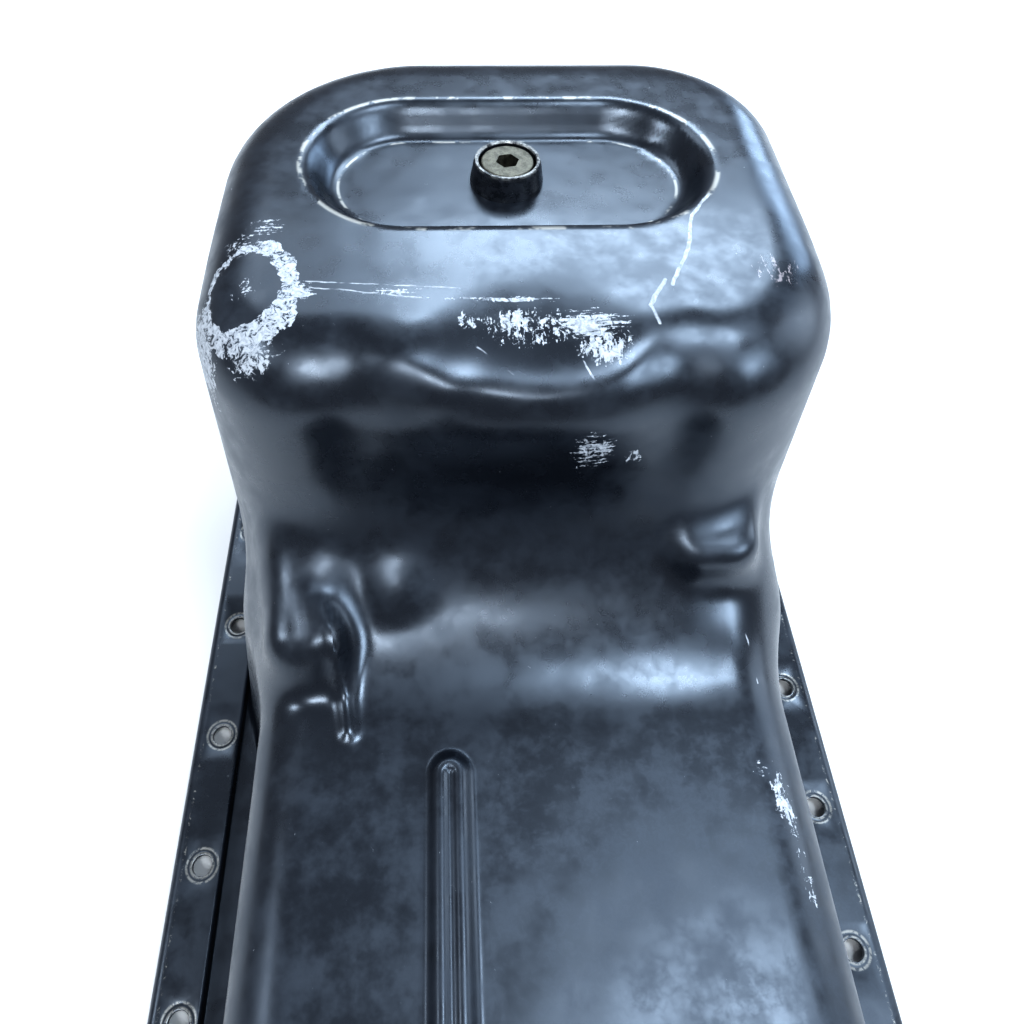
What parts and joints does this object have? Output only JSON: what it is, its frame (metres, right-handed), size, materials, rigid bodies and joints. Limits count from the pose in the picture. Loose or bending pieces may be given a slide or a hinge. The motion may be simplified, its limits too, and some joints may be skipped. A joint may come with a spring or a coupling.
{
  "type": "engine oil pan",
  "caption": "Deep-drawn sheet steel engine oil pan with a bolting flange, a shallow end, a deep sump and a screw-in drain plug in a recess.",
  "frame": {"origin": "centre of the flange outline, on the plane of the flange lip's lower edge", "axes": "+Z away from the engine block through the sump's bottom face, +Y along the pan towards the deep sump end, +X across"},
  "size_m": [0.325, 0.74, 0.2369],
  "materials": {
    "pan_paint": "semi-gloss black paint, scuffed",
    "boss_paint": "black paint",
    "plug_steel": "yellow passivated steel",
    "washer_metal": "plain"
  },
  "bodies": {
    "pan": {"pan_body": "pan_paint", "drain_boss": "boss_paint"},
    "washer": {"sealing_washer": "washer_metal"},
    "plug": {"drain_plug": "plug_steel"}
  },
  "joints": [
    {"name": "plug_travel", "type": "slide", "parent": "pan", "child": "washer", "axis": [0, 0, 1], "range_m": [0, 0.0152]},
    {"name": "plug_turn", "type": "hinge", "parent": "washer", "child": "plug", "pos_m": [-0.003, 0.2405, 0.2277], "axis": [0, 0, 1], "range_deg": [0, 3600]}
  ],
  "couplings": [
    {"joint": "plug_travel", "follows": "plug_turn", "m_per_rad": 0.00023873}
  ]
}
